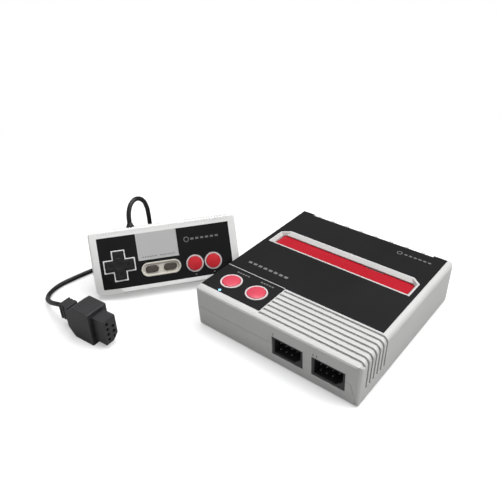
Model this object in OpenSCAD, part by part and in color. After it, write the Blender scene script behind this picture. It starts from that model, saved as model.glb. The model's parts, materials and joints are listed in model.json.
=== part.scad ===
// Cartridge game console with a wired controller, as one set.
// Everything is drawn about the console: x to the right along its front, y to the back, z up
// from the surface it stands on. One last move puts the origin at the middle of the footprint
// of the console and controller together. Sizes are in millimetres.

/* [Console case] */
// Width of the console
body_w = 146; // [145:0.5:148]
// Depth of the console
body_d = 149; // [148:0.5:151]
// Height of the case above its feet
body_h = 37.2; // [37:0.1:38]
// Wall of the case and of its top
wall = 2.2; // [2:0.1:2.3]
// How far the rubber feet stand out
feet_h = 1.2; // [1:0.1:1.4]

/* [Cartridge slot] */
// Width of the throat that takes a cartridge
throat_w = 125; // [122:1:125]

/* [Console buttons] */
// Radius of the power and reset caps
cap_r = 7.2; // [6.5:0.1:7.2]
// Travel of the power and reset caps
cap_travel = 1.5; // [1:0.1:1.5]

/* [Controller] */
// Width of the controller
pad_w = 126; // [126:1:128]
// Height of the controller
pad_h = 55; // [55:1:56]
// Thickness of the controller
pad_t = 18; // [18:0.5:19]
// Turn of the controller away from the console's front
pad_yaw = 52; // [50:1:54]
// Lean of the controller back from upright
pad_lean = 27; // [25:1:28]
// Radius of the two round buttons
round_r = 6.1; // [5.5:0.1:6.1]

/* [Cord] */
// Diameter of the cord
cord_d = 4; // [4:0.1:4.2]
// Length of the plug's nose
nose_l = 12; // [10:0.5:12]

/* [Hidden] */
$fn = 48;
eps = 0.01;

// Colours
shell_grey = [0.74, 0.74, 0.74];
label_black = [0.13, 0.13, 0.13];
cap_red = [0.86, 0.16, 0.22];
flap_red = [0.80, 0.09, 0.17];
board_green = [0.10, 0.38, 0.22];
steel = [0.75, 0.76, 0.78];
black = [0.08, 0.08, 0.09];

// Console levels and places
top_z = feet_h + body_h;
under_z = top_z - wall;
label_t = 0.3;
part_z = 18.8;
floor_z = feet_h + wall;
draft_x = 0.6;
draft_y = 1.5;
edge_r = 5;
case_posts = [[-65.6, -66], [65.6, -66], [-65.6, 66], [65.6, 66]];
post_z = 7.2;
foot_places = [[-58, -58], [58, -58], [-58, 58], [58, 58]];
foot_r = 5.5;

// Label and grille
label_left = -71.6;
label_right = 68.1;
label_back = 71.1;
strip_front = -68.7;
strip_back = -35.8;
strip_right = -14.9;
groove_pitch = 5.13;
groove_first = -69.4;
groove_w = 2.2;
groove_deep = 1.5;
groove_low = 11.6;
vent_pitch = 14.5;
vent_first = -54.6;
rib_w = 2.6;
vent_ends = [-59.6, 56.3];
vent_y = 71.7;
vent_low = 31;

// Cartridge slot, its frame and its flap
slot_x = -1.5;
rim_w = 131;
rim_front = 11.6;
rim_back = 35.5;
rim_z = top_z + label_t + 0.2;
throat_front = 13.6;
throat_back = 31.2;
funnel_z = 36.5;
pocket_back = 34.4;
pocket_top = 35.6;
frame_low = 9;
frame_wall = 1.9;
axis_y = 32.4;
axis_z = 33.8;
pin_r = 0.75;
knuckle_r = 1.6;
flap_w = throat_w - 0.8;
flap_front = 14;
flap_z = 33.2;
flap_t = 2;
ears = [[-45, 8.8], [42, 8.8], [-45, 38.8], [42, 38.8]];
ear_z = 30;

// Console buttons and their board
button_places = [[-53.9, -53.5], [-29.1, -53.5]];
collar_r = 8.8;
collar_in = cap_r + 0.4;
collar_z = top_z + label_t + 0.6;
led_place = [-54.2, -67.1];
button_board_z = 24;
switch_h = 1.6;
plunger_h = 0.7;
board_t = 1.6;
button_posts = [[-41.5, -65], [-64, -42.5], [-19, -42.5]];
cap_rest = button_board_z + board_t + switch_h + plunger_h + cap_travel + 0.2;

// Controller ports
port_x = [14.1, 48.3];
port_z = 17.7;
port_w = 26.8;
port_h = 17;
port_front = -73.1;
port_back = -58.2;
recess_w = 22.8;
recess_h = 12.8;
recess_deep = 12.4;
key_cut = 5;
pin_pitch = 4.9;
row_gap = 5.6;

// Main board
main_z = 4.6;
main_top = main_z + board_t;
main_posts = [[-55, -41], [52, -41], [-55, 60], [52, 60]];
connector_y = 22.6;
connector_top = 13.4;
contact_pitch = 2.5;
jack_x = [22, 38];
jack_z = 12.4;
jack_r = 4.15;
jack_end = 82;
inlet_x = -38;

// Controller: x across its face, y up its face, z out of its face
pad_at = [-133, -49, -0.45];
pad_mid = 9;
pad_wall = 2;
face_in = pad_t - pad_wall;
pad_corner = 4;
pad_edge = 1.2;
fold = 25;
fold_drop = 18.7;
dpad_at = [-40.3, 24];
dpad_w = 23.2;
arm_w = 8;
pivot_z = 13;
round_a = [39.6, 16.6];
round_b = [23.4, 16.6];
pill_at = [-5.8, 17];
pill_w = 34;
pill_h = 12;
pill_gap = 15.7;
pill_key = [10.6, 5.2];
panel_x = [-23.3, 10.6];
panel_low = 26.2;
label_x = 56.5;
label_y = [4.5, 49];
pad_posts = [[-57, 48.4], [57, 48.4], [-55, 7], [55, 7]];
rib_pitch = 2.4;
rib_gap = 1.2;
rib_deep = 0.6;
rib_count = 23;
pad_board_z = 6;
pad_board_top = pad_board_z + board_t;
sheet_top = pad_board_top + 1;
exit_x = -27;
grommet_end = 58.5;

// Cord, coil and plug
plug_at = [-161, -137.5, 15];
plug_yaw = 5;
plug_h = 30;
plug_w = 19;
grip_l = 40;
socket_r = 1.35;
socket_wall = 0.35;
coil_at = [-158, -16.5, 0];
coil_in = 17;
coil_out = 29;
coil_h = 20;
coil_enter = 165;
coil_leave = -75;
cord_r = cord_d / 2;
start_points = [[-168, -54.5, 65], [-170, -49, 69.5], [-170.5, -42.5, 70.5], [-170, -37, 67],
    [-169.5, -34, 60], [-169.5, -33, 51], [-170, -32.5, 42], [-171.5, -31.5, 33],
    [-175.5, -29, 26], [-181, -24, 21.5], [-184.8, -17, 19.2]];
end_points = [[-163, -46, 2.2], [-175, -50.5, 2.2], [-186, -57.5, 2.2], [-195, -67, 2.2],
    [-201, -78, 2.2], [-204, -90, 2.2], [-206, -102, 2.2], [-207, -113, 2.2], [-204, -124, 2.8],
    [-197, -132, 4.6], [-187, -136.5, 8], [-176, -138, 12]];

// Where the console stands once the origin is at the middle of the set
pad_turn = [90 - pad_lean, 0, pad_yaw];
function pad_point(p) = pad_at
    + p.x * [cos(pad_yaw), sin(pad_yaw), 0]
    + p.y * [-sin(pad_lean) * sin(pad_yaw), sin(pad_lean) * cos(pad_yaw), cos(pad_lean)]
    + p.z * [cos(pad_lean) * sin(pad_yaw), -cos(pad_lean) * cos(pad_yaw), sin(pad_lean)];
console_at = [58.7, 11.4, 0];

// ---- Shapes used by several parts ----

function arc(cx, cy, r, from, to, n = 8) =
    [for (i = [0:n]) let (a = from + (to - from) * i / n) [cx + r * cos(a), cy + r * sin(a)]];

module rounded(w, h, r) {
    square([w - 2 * r, h], center = true);
    square([w, h - 2 * r], center = true);
    for (x = [-1, 1], y = [-1, 1])
        translate([x * (w / 2 - r), y * (h / 2 - r)]) circle(r);
}

module pill(w, h) {
    square([w - h, h], center = true);
    for (x = [-1, 1]) translate([x * (w - h) / 2, 0]) circle(h / 2);
}

module cross(w, arm) {
    square([w, arm], center = true);
    square([arm, w], center = true);
}

module slab(x, y, z) {
    translate([x[0], y[0], z[0]]) cube([x[1] - x[0], y[1] - y[0], z[1] - z[0]]);
}

module rod(r, low, high) {
    translate([0, 0, low]) cylinder(r = r, h = high - low);
}

module tube_ring(r_out, r_in, low, high) {
    difference() {
        rod(r_out, low, high);
        rod(r_in, low - 1, high + 1);
    }
}

// The domed top of a round cap: r wide, its middle h above the rim of the cap
module dome(r, curve_r, h) {
    rotate_extrude()
        polygon(concat([[0, -0.5], [r, -0.5]],
            arc(0, -curve_r, curve_r + h, 90 - asin(r / (curve_r + h)), 90)));
}

// A cross-head screw, head down, with the underside of its head at z = 0
module screw(head_r, head_h, shank_r, length) {
    difference() {
        union() {
            rod(head_r, -head_h, 0);
            rod(shank_r, -eps, length);
        }
        for (turn = [0, 90])
            rotate([0, 0, turn])
                translate([-head_r * 0.6, -0.25, -head_h - 1])
                    cube([head_r * 1.2, 0.5, 1.6]);
    }
}

// A tube of n sides along a list of points, swept with a frame that never twists
function unit(v) = v / norm(v);
function tangent(p, i) = unit(p[min(i + 1, len(p) - 1)] - p[max(i - 1, 0)]);
function square_to(n, t) = unit(n - (n * t) * t);
function sweep_normals(p, first) =
    [for (i = 0, n = square_to(first, tangent(p, 0)); i < len(p);
        i = i + 1, n = i < len(p) ? square_to(n, tangent(p, i)) : n) n];
function curve(p, parts) = concat([for (i = [0:len(p) - 2], k = [0:parts - 1])
    let (a = p[max(i - 1, 0)], b = p[i], c = p[i + 1], d = p[min(i + 2, len(p) - 1)], t = k / parts)
    0.5 * (2 * b + t * (c - a) + t * t * (2 * a - 5 * b + 4 * c - d)
        + t * t * t * (3 * b - a - 3 * c + d))], [p[len(p) - 1]]);

module sweep(p, r, sides, first = [0, 0, 1]) {
    normals = sweep_normals(p, first);
    rings = [for (i = [0:len(p) - 1], k = [0:sides - 1])
        let (n = normals[i], b = cross_of(tangent(p, i), n), a = 360 * k / sides)
        p[i] + r * (cos(a) * n + sin(a) * b)];
    walls = [for (i = [0:len(p) - 2], k = [0:sides - 1])
        [i * sides + k, i * sides + (k + 1) % sides, (i + 1) * sides + (k + 1) % sides,
            (i + 1) * sides + k]];
    first_cap = [[for (k = [0:sides - 1]) sides - 1 - k]];
    last_cap = [[for (k = [0:sides - 1]) (len(p) - 1) * sides + k]];
    polyhedron(points = rings, faces = [for (f = concat(walls, first_cap, last_cap))
        [for (k = [len(f) - 1:-1:0]) f[k]]], convexity = 10);
}
function cross_of(a, b) = [a.y * b.z - a.z * b.y, a.z * b.x - a.x * b.z, a.x * b.y - a.y * b.x];

module coil_spring(r, wire, low, high, turns) {
    steps = turns * 12;
    path = [for (i = [0:steps]) let (a = 30 * i)
        [r * cos(a), r * sin(a), low + wire + (high - low - 2 * wire) * i / steps]];
    sweep(path, wire, 6);
}

// ---- Console case ----

// The case's outer form, and with g its form g further in
module case_block(g = 0, low = feet_h) {
    x = body_w / 2 - g;
    y = body_d / 2 - g;
    z = top_z - g;
    r = edge_r - g;
    intersection() {
        rotate([90, 0, 0])
            linear_extrude(body_d + 2, center = true)
                polygon(concat([[-x + draft_x, low], [-x, z - 1.2], [-x + 1.2, z]],
                    arc(x - r, z - r, r, 90, 0), [[x - draft_x, low]]));
        rotate([90, 0, 90])
            linear_extrude(body_w + 2, center = true)
                polygon([[-y + draft_y, low], [-y, z - 2.4], [-y + 0.7, z - 1.2],
                    [-y + 2.6, z - 0.35], [-y + 5.6, z], [y - 1, z], [y, z - 1],
                    [y - draft_y, low]]);
        translate([0, 0, low - 1])
            linear_extrude(z - low + 2)
                polygon(concat(arc(-x + max(2 - g, 0.4), -y + max(2 - g, 0.4),
                    max(2 - g, 0.4), 180, 270, 5),
                    arc(x - 4.5 + g, -y + 4.5 - g, 4.5 - g, -90, 0),
                    arc(x - max(3 - g, 0.4), y - max(3 - g, 0.4), max(3 - g, 0.4), 0, 90, 6),
                    arc(-x + max(3 - g, 0.4), y - max(3 - g, 0.4), max(3 - g, 0.4), 90, 180, 6)));
    }
}

// All that belongs to the lower shell; its right end drops away to the bottom corner
module below_parting(gap = 0) {
    rotate([90, 0, 0])
        linear_extrude(body_d + 10, center = true)
            polygon([[-90, -5], [-90, part_z + gap], [65.6 + gap, part_z + gap],
                [69.2 + gap, 8.6], [69.9 + gap, 6], [69.9 + gap, -5]]);
}

module port_openings() {
    for (x = port_x)
        slab([x - port_w / 2 - 0.1, x + port_w / 2 + 0.1], [-80, -68],
            [port_z - port_h / 2 - 0.1, port_z + port_h / 2 + 0.1]);
}

module grille_cuts() {
    difference() {
        for (i = [0:6])
            translate([strip_right + 0.6, groove_first + groove_pitch * i - groove_w / 2, 0])
                slab([0, 100], [0, groove_w], [i == 0 ? 34.5 : groove_low, 60]);
        case_block(groove_deep);
    }
}

module rear_vents() {
    for (i = [-1:7])
        let (from = i < 0 ? vent_ends[0] : vent_first + vent_pitch * i + rib_w / 2,
            to = i == 7 ? vent_ends[1] : vent_first + vent_pitch * (i + 1) - rib_w / 2)
            slab([from, to], [vent_y, 80], [vent_low, 50]);
}

module upper_shell() {
    color(shell_grey)
    difference() {
        union() {
            difference() {
                case_block();
                case_block(wall, feet_h - 1);
                below_parting(0.2);
            }
            for (p = case_posts) translate(p) rod(3.6, post_z, under_z + 0.5);
            for (p = button_posts) translate(p) rod(2.4, button_board_z + board_t, under_z + 0.5);
            for (p = ears) translate(p) rod(3, ear_z + 2, under_z + 0.5);
            for (p = button_places) translate(p) rod(collar_r, under_z + 0.5, collar_z);
        }
        for (p = case_posts) translate(p) rod(1.3, 0, 18);
        for (p = button_posts) translate(p) rod(0.95, 0, 32);
        for (p = ears) translate(p) rod(0.9, 0, 36.5);
        for (p = button_places) translate(p) rod(collar_in, 30, 50);
        translate(led_place) rod(1.2, 30, 50);
        translate([0, 0, 30]) linear_extrude(20) rim_outline(-0.15);
        port_openings();
        grille_cuts();
        rear_vents();
    }
}

module lower_shell() {
    color(shell_grey * 0.97)
    difference() {
        union() {
            difference() {
                intersection() {
                    case_block();
                    below_parting();
                }
                case_block(wall, floor_z);
            }
            for (p = case_posts) translate(p) rod(4.2, feet_h, post_z - 0.2);
            for (p = main_posts) translate(p) rod(2.8, floor_z - eps, main_z);
            for (x = [-2.4, 62.9]) slab([x, x + 2.6], [-60.4, -54.4], [floor_z - eps, 14]);
        }
        for (p = case_posts) translate(p) {
            rod(3, 0, 4.8);
            rod(1.5, 0, 20);
        }
        for (p = main_posts) translate(p) rod(0.95, 2, 20);
        for (p = foot_places) translate(p) rod(foot_r + 0.1, 0, feet_h + 0.8);
        slab([-0.2, 62.8], [port_back, port_back + 1.6], [8, 20]);
        port_openings();
        for (x = jack_x) translate([x, 60, jack_z]) rotate([-90, 0, 0]) rod(4.7, 0, 30);
        translate([inlet_x, 60, jack_z]) rotate([-90, 0, 0]) rod(4, 0, 30);
    }
}

module rubber_feet() {
    color(black)
    for (p = foot_places) translate(p) rod(foot_r, 0, feet_h + 0.8);
}

module top_label() {
    color(label_black)
    difference() {
        translate([0, 0, top_z])
            linear_extrude(label_t)
                polygon([[label_left, strip_front], [strip_right, strip_front],
                    [strip_right, strip_back], [label_right, strip_back], [label_right, 73.2],
                    [56.6, 73.2], [56.6, label_back], [-59.9, label_back], [-59.9, 73.2],
                    [label_left, 73.2]]);
        translate([0, 0, 30]) linear_extrude(20) rim_outline(-0.15);
        for (p = button_places) translate(p) rod(collar_r + 0.1, 30, 50);
        translate(led_place) rod(1.2, 30, 50);
    }
}

// ---- Cartridge slot ----

module rim_outline(g) {
    x = rim_w / 2 - g;
    y = [rim_front + g, rim_back - g];
    translate([slot_x, 0])
        polygon([[-x, y[0]], [x, y[0]], [x, y[1] - 5.5], [x - 7, y[1]], [7 - x, y[1]],
            [-x, y[1] - 5.5]]);
}

module slot_frame() {
    half = throat_w / 2;
    color(shell_grey)
    difference() {
        union() {
            translate([0, 0, 34.4]) linear_extrude(rim_z - 34.4) rim_outline(0);
            slab([slot_x - half - frame_wall, slot_x + half + frame_wall],
                [throat_front - 1.4, pocket_back + 1], [frame_low, under_z - 0.2]);
            for (p = ears) translate(p) rod(3.6, ear_z, ear_z + 2);
            for (p = ears)
                slab([p.x - 3, p.x + 3], p.y < 20 ? [p.y, 13] : [35, p.y], [ear_z, ear_z + 2]);
        }
        hull() {
            translate([0, 0, rim_z]) linear_extrude(1) rim_outline(1.2);
            translate([slot_x, 0, funnel_z - eps])
                linear_extrude(eps)
                    polygon([[-half, throat_front], [half, throat_front],
                        [half, throat_back - 2.2], [half - 2.6, throat_back],
                        [2.6 - half, throat_back], [-half, throat_back - 2.2]]);
        }
        translate([slot_x, 0, pocket_top - eps])
            linear_extrude(funnel_z - pocket_top + eps)
                polygon([[-half, throat_front], [half, throat_front],
                    [half, throat_back - 2.2], [half - 2.6, throat_back],
                    [2.6 - half, throat_back], [-half, throat_back - 2.2]]);
        slab([slot_x - half, slot_x + half], [throat_front, pocket_back], [0, pocket_top]);
        translate([slot_x, axis_y, axis_z]) rotate([0, 90, 0])
            cylinder(r = pin_r, h = throat_w + 20, center = true);
        for (p = ears) translate(p) rod(1, 0, 33);
    }
}

module along_x(r, from, to) {
    translate([slot_x + from, axis_y, axis_z]) rotate([0, 90, 0]) rod(r, 0, to - from);
}

module dust_flap() {
    half = flap_w / 2;
    color(flap_red)
    difference() {
        union() {
            slab([slot_x - half, slot_x + half], [flap_front, throat_back],
                [flap_z, flap_z + flap_t]);
            for (k = [[-half, -48], [-12, 12], [48, half]]) {
                along_x(knuckle_r, k[0], k[1]);
                slab([slot_x + k[0], slot_x + k[1]], [31, axis_y], [flap_z, axis_z + 1.2]);
            }
        }
        along_x(pin_r + 0.05, -half - 1, half + 1);
        slab([slot_x + 18.5, slot_x + 35], [30.2, 40], [30, 40]);
    }
}

module flap_pin() {
    color(steel) along_x(pin_r, -throat_w / 2 - frame_wall, throat_w / 2 + frame_wall);
}

module flap_spring() {
    coils = 5;
    r = 1.25;
    turn = [for (i = [0:coils * 12 + 3]) let (a = -90 + 30 * i)
        [slot_x + 20 + 12.5 * i / (coils * 12 + 3), axis_y + r * cos(a), axis_z + r * sin(a)]];
    color(steel)
        sweep(concat([[slot_x + 20, 25, axis_z - r], [slot_x + 20, 30, axis_z - r]], turn,
            [[slot_x + 32.5, axis_y + r, axis_z + 0.9]]), 0.22, 6, [1, 0, 0]);
}

module frame_screws() {
    color(steel)
    for (p = ears) translate([p.x, p.y, ear_z]) screw(1.9, 1.3, 0.9, 5.5);
}

// ---- Console buttons ----

module button_cap(place) {
    color(cap_red)
    translate(place) {
        rod(cap_r, under_z - 1, collar_z + 0.2);
        translate([0, 0, collar_z + 0.2])
            dome(cap_r * 0.94, 30, 0.8);
        rod(8.6, under_z - 2.3, under_z - 0.4);
        rod(2, cap_rest, under_z - 2);
    }
}

module power_button() { button_cap(button_places[0]); }
module reset_button() { button_cap(button_places[1]); }

module button_spring(place) {
    color(steel)
    translate(place)
        coil_spring(5.6, 0.35, button_board_z + board_t + 0.05, under_z - 2.35, 5);
}

module power_spring() { button_spring(button_places[0]); }
module reset_spring() { button_spring(button_places[1]); }

module button_switches() {
    low = button_board_z + board_t;
    color(black)
    for (p = button_places) translate(p) {
        slab([-3, 3], [-3, 3], [low, low + switch_h]);
        rod(1.7, low, low + switch_h + plunger_h);
    }
}

module button_board() {
    color(board_green)
    difference() {
        slab([-67, -16], [-70, -39.5], [button_board_z, button_board_z + board_t]);
        translate(case_posts[0]) rod(4.4, 0, 40);
        for (p = button_posts) translate(p) rod(1.05, 0, 40);
    }
}

module status_led() {
    color([0.85, 0.9, 1])
    translate(led_place) {
        rod(1.5, button_board_z + board_t, 30);
        translate([0, 0, 30]) rotate_extrude() intersection() {
            circle(1.5);
            square(2);
        }
    }
}

module led_lens() {
    color([0.2, 0.5, 0.95])
    translate(led_place) {
        rod(1.1, 31.8, rim_z);
        rod(1.8, under_z - 1.9, under_z - 0.5);
    }
}

// ---- Ports ----

// The keyed outline of a port's recess, or g smaller of a plug's nose: one corner is cut
module keyed(w, h) {
    polygon([[-w / 2, -h / 2], [w / 2 - key_cut, -h / 2], [w / 2, -h / 2 + key_cut],
        [w / 2, h / 2], [-w / 2, h / 2]]);
}

// Contact places across the port: four above, three below on the side away from the key
contact_spots = concat([for (i = [0:3]) [(i - 1.5) * pin_pitch, row_gap / 2]],
    [for (i = [0:2]) [(i - 1.5) * pin_pitch, -row_gap / 2]]);

module port(x) {
    color(black)
    translate([x, 0, port_z])
    difference() {
        union() {
            slab([-port_w / 2, port_w / 2], [port_front, port_back], [-port_h / 2, port_h / 2]);
            slab([-port_w / 2 - 1.2, port_w / 2 + 1.2], [-70.5, -69],
                [-port_h / 2 - 1.2, port_h / 2 + 1.2]);
        }
        translate([0, port_front + recess_deep, 0]) rotate([90, 0, 0])
            linear_extrude(recess_deep + 1) keyed(recess_w, recess_h);
        for (s = contact_spots)
            translate([s.x, -80, s.y]) rotate([-90, 0, 0]) rod(0.7, 0, 40);
    }
}

module port_1() { port(port_x[0]); }
module port_2() { port(port_x[1]); }

module port_contacts() {
    color(steel)
    for (x = port_x, s = contact_spots)
        translate([x + s.x, 0, port_z + s.y]) rotate([-90, 0, 0])
            rod(0.7, -71.4, port_back + board_t + 0.8);
}

module port_board() {
    color(board_green)
    difference() {
        slab([0, 62.4], [port_back, port_back + board_t], [8.2, 27]);
        for (x = port_x, s = contact_spots)
            translate([x + s.x, -80, port_z + s.y]) rotate([-90, 0, 0]) rod(0.7, 0, 40);
    }
}

// A flat cable: its line from start to end, thickened by t, and w wide
module flat_cable(line, t, w) {
    rotate([90, 0, 90])
        linear_extrude(w)
            polygon(concat(line, [for (i = [len(line) - 1:-1:0]) line[i] + [t, t * 0.4]]));
}

module port_ribbon() {
    color([0.6, 0.6, 0.62])
    translate([24, 0, 0])
        flat_cable([[port_back + board_t, 11.4], [-52, 11], [-48, 9.4], [-43, main_top]],
            0.9, 14);
}

module button_cable() {
    color([0.6, 0.6, 0.62])
    translate([-34, 0, 0])
        flat_cable([[-42, button_board_z - 0.4], [-41.2, 18], [-39.4, 12], [-38.6, main_top]],
            0.9, 12);
}

// ---- Main board ----

module main_board() {
    color(board_green)
    difference() {
        slab([-60, 57], [-46, 66.5], [main_z, main_top]);
        for (p = main_posts) translate(p) rod(1.05, 0, 20);
    }
}

module cart_connector() {
    color(black)
    difference() {
        slab([slot_x - 49.5, slot_x + 49.5], [connector_y - 5.5, connector_y + 5.5],
            [main_top, connector_top]);
        slab([slot_x - 46.5, slot_x + 46.5], [connector_y - 1.9, connector_y + 1.9],
            [main_top + 1, 20]);
    }
}

module cart_contacts() {
    color([0.83, 0.68, 0.30])
    for (i = [0:35], side = [-1, 1])
        translate([slot_x + (i - 17.5) * contact_pitch, connector_y + side * 1.55, 0])
            slab([-0.45, 0.45], [-0.35, 0.35], [main_top + 1, connector_top - 0.6]);
}

module main_chips() {
    color(black) {
        slab([-12, 8], [-26, -6], [main_top, main_top + 2.4]);
        slab([20, 38], [-22, -14], [main_top, main_top + 2]);
        slab([-42, -28], [-20, -12], [main_top, main_top + 2]);
    }
}

module capacitors() {
    color([0.15, 0.2, 0.35])
    for (p = [[-20, 52], [-8, 54], [4, 52]])
        translate(p) rod(4, main_top, main_top + 11);
}

module jack_housings() {
    color(black)
    for (x = jack_x)
        difference() {
            slab([x - 5.5, x + 5.5], [60, 70.8], [main_top, jack_z + 6]);
            translate([x, 59, jack_z]) rotate([-90, 0, 0]) rod(1.6, 4, 20);
        }
}

module jack_shells() {
    color(steel)
    for (x = jack_x)
        translate([x, 0, jack_z]) rotate([-90, 0, 0]) difference() {
            union() {
                rod(4.5, 70.8, 73.9);
                rod(jack_r, 73.8, jack_end);
            }
            rod(3.4, 60, 90);
        }
}

module jack_inserts() {
    color([0.9, 0.75, 0.1])
    for (x = jack_x)
        translate([x, 0, jack_z]) rotate([-90, 0, 0])
            tube_ring(3.4, 1.6, 70.8, jack_end - 0.6);
}

module power_inlet() {
    color(black)
    translate([inlet_x, 0, 0]) {
        difference() {
            slab([-4.6, 4.6], [58, 70.8], [main_top, jack_z + 5.6]);
            translate([0, 0, jack_z]) rotate([-90, 0, 0]) rod(3.1, 62, 75);
        }
        translate([0, 0, jack_z]) rotate([-90, 0, 0]) rod(1, 61.9, 70);
    }
}

module case_screws() {
    color(steel)
    for (p = case_posts) translate([p.x, p.y, 4.8]) screw(2.6, 1.8, 1.3, 11);
}

module board_screws() {
    color(steel) {
        for (p = main_posts)
            translate([p.x, p.y, main_top]) rotate([180, 0, 0]) screw(2, 1.3, 0.95, 4);
        for (p = button_posts)
            translate([p.x, p.y, button_board_z]) screw(2, 1.3, 0.95, 7);
    }
}

// ---- Controller ----

module on_pad() {
    translate(pad_at) rotate(pad_turn) children();
}

// The controller's outer form with its face sunk by s: the two lower corners fold back
module pad_form(s = 0) {
    t = pad_t - s;
    difference() {
        intersection() {
            linear_extrude(t)
                translate([0, pad_h / 2]) rounded(pad_w, pad_h, pad_corner);
            translate([0, pad_h / 2, 0]) rotate([90, 0, 0])
                linear_extrude(pad_h + 2, center = true)
                    edge_outline(pad_w, t);
            rotate([90, 0, 90])
                linear_extrude(pad_w + 2, center = true)
                    translate([pad_h / 2, 0]) edge_outline(pad_h, t);
        }
        for (side = [-1, 1])
            translate([side * (pad_w / 2 - fold / 2), fold / 2, t])
                rotate([0, 0, side > 0 ? -45 : -135])
                    rotate([0, fold_drop, 0])
                        translate([0, -40, 0]) cube([60, 80, 30]);
    }
}

// Half-width w / 2 with bevelled edges, from 0 up to t
module edge_outline(w, t) {
    x = w / 2;
    polygon([[1 - x, 0], [-x, 1], [-x, t - pad_edge], [pad_edge - x, t], [x - pad_edge, t],
        [x, t - pad_edge], [x, 1], [x - 1, 0]]);
}

module pad_cavity() {
    intersection() {
        pad_form(pad_wall);
        translate([0, pad_h / 2, pad_wall])
            linear_extrude(pad_t) rounded(pad_w - 2 * pad_wall, pad_h - 2 * pad_wall, 2.4);
    }
}

module label_prism() {
    translate([-label_x, label_y[0], 5])
        cube([2 * label_x, label_y[1] - label_y[0], 30]);
}

module rounds() {
    for (p = [round_a, round_b]) translate(p) children();
}

module face_openings() {
    translate([dpad_at.x, dpad_at.y, 10]) linear_extrude(20) cross(dpad_w + 1.6, arm_w + 1.6);
    rounds() rod(round_r + 0.3, 10, 30);
    translate([pill_at.x, pill_at.y, 10]) linear_extrude(20) pill(pill_w + 0.2, pill_h + 0.2);
}

module face_rims() {
    translate([dpad_at.x, dpad_at.y, face_in])
        linear_extrude(pad_wall + 0.3) cross(dpad_w + 3.4, arm_w + 3.4);
    rounds() rod(round_r + 1.4, face_in, pad_t + 0.4);
}

// Fine grooves across the controller's top edge and over onto its face
module top_ribs() {
    difference() {
        for (i = [-rib_count:rib_count])
            slab([rib_pitch * i - rib_gap / 2, rib_pitch * i + rib_gap / 2],
                [label_y[1] + 1.6, pad_h + 1], [pad_mid + 1.6, pad_t + 1]);
        translate([0, -rib_deep, -rib_deep]) pad_form();
    }
}

module pad_front_shell() {
    color(shell_grey)
    on_pad()
    difference() {
        union() {
            difference() {
                pad_form();
                pad_cavity();
                difference() {
                    label_prism();
                    pad_form(0.3);
                }
                top_ribs();
            }
            face_rims();
            intersection() {
                pad_form(0.5);
                for (p = pad_posts) translate(p) rod(3.2, pad_mid, 30);
            }
        }
        translate([-100, -10, -1]) cube([200, 80, pad_mid + 1]);
        for (p = pad_posts) translate(p) rod(1.2, 0, 14);
        face_openings();
        grommet_hole();
    }
}

module grommet_hole() {
    translate([exit_x, 40, pad_mid]) rotate([-90, 0, 0]) rod(2.6, 0, 30);
}

module pad_back_shell() {
    color(shell_grey * 0.97)
    on_pad()
    difference() {
        union() {
            difference() {
                pad_form();
                pad_cavity();
                slab([-100, 100], [-10, 80], [pad_mid - 0.1, 40]);
            }
            for (p = pad_posts) translate(p) rod(3.6, 1, pad_mid - 0.1);
            for (p = [[-46, 42], [46, 42], [-46, 7.5], [46, 7.5]])
                translate(p) rod(2, 1, pad_board_z);
            translate([dpad_at.x, dpad_at.y, 0]) rod(1.7, 1, pivot_z - 0.6);
        }
        for (p = pad_posts) translate(p) {
            rod(2.7, -1, 2.8);
            rod(1.35, -1, 20);
        }
        translate([dpad_at.x, dpad_at.y, pivot_z]) sphere(r = 2.1);
        grommet_hole();
    }
}

module pad_label() {
    color(label_black)
    on_pad()
    difference() {
        intersection() {
            label_prism();
            pad_form();
        }
        pad_form(0.3);
        face_openings();
        translate([dpad_at.x, dpad_at.y, 10])
            linear_extrude(20) cross(dpad_w + 3.6, arm_w + 3.6);
        rounds() rod(round_r + 1.5, 10, 30);
        slab([panel_x[0] - 0.1, panel_x[1] + 0.1], [panel_low - 0.1, 60], [10, 30]);
    }
}

module pad_panel() {
    color(shell_grey)
    on_pad() slab(panel_x, [panel_low, label_y[1] - 0.05], [pad_t - 0.3, pad_t + 0.05]);
}

module key_places() {
    for (side = [-1, 1]) translate([pill_at.x + side * pill_gap / 2, pill_at.y]) children();
}

module pill_insert() {
    color([0.74, 0.73, 0.69])
    on_pad()
    difference() {
        translate(pill_at) {
            translate([0, 0, 14]) linear_extrude(pad_t + 0.3 - 14) pill(pill_w, pill_h);
            translate([0, 0, 14]) linear_extrude(1.8) pill(pill_w + 2.6, pill_h + 2.6);
        }
        translate([pill_at.x, pill_at.y, pad_t - 1.1])
            linear_extrude(5) pill(pill_w - 2.6, pill_h - 2.6);
        key_places() translate([0, 0, 10])
            linear_extrude(20) pill(pill_key.x + 0.6, pill_key.y + 0.6);
    }
}

module key_button(side) {
    color([0.22, 0.20, 0.17])
    on_pad()
    translate([pill_at.x + side * pill_gap / 2, pill_at.y, 0]) {
        translate([0, 0, 12.6]) linear_extrude(pad_t + 0.1 - 12.6) pill(pill_key.x, pill_key.y);
        translate([0, 0, 12.4]) linear_extrude(1.2) pill(pill_key.x + 1.6, pill_key.y + 1.6);
        rod(2, 10.3, 12.5);
    }
}

module select_button() { key_button(-1); }
module start_button() { key_button(1); }

module round_button(place) {
    color(cap_red)
    on_pad()
    translate(place) {
        rod(round_r, 14.5, pad_t + 1.2);
        translate([0, 0, pad_t + 1.2])
            dome(round_r * 0.92, 22, 0.6);
        rod(round_r + 1.1, 14.3, 15.5);
        rod(3, 10.3, 14.4);
    }
}

module button_a() { round_button(round_a); }
module button_b() { round_button(round_b); }

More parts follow.
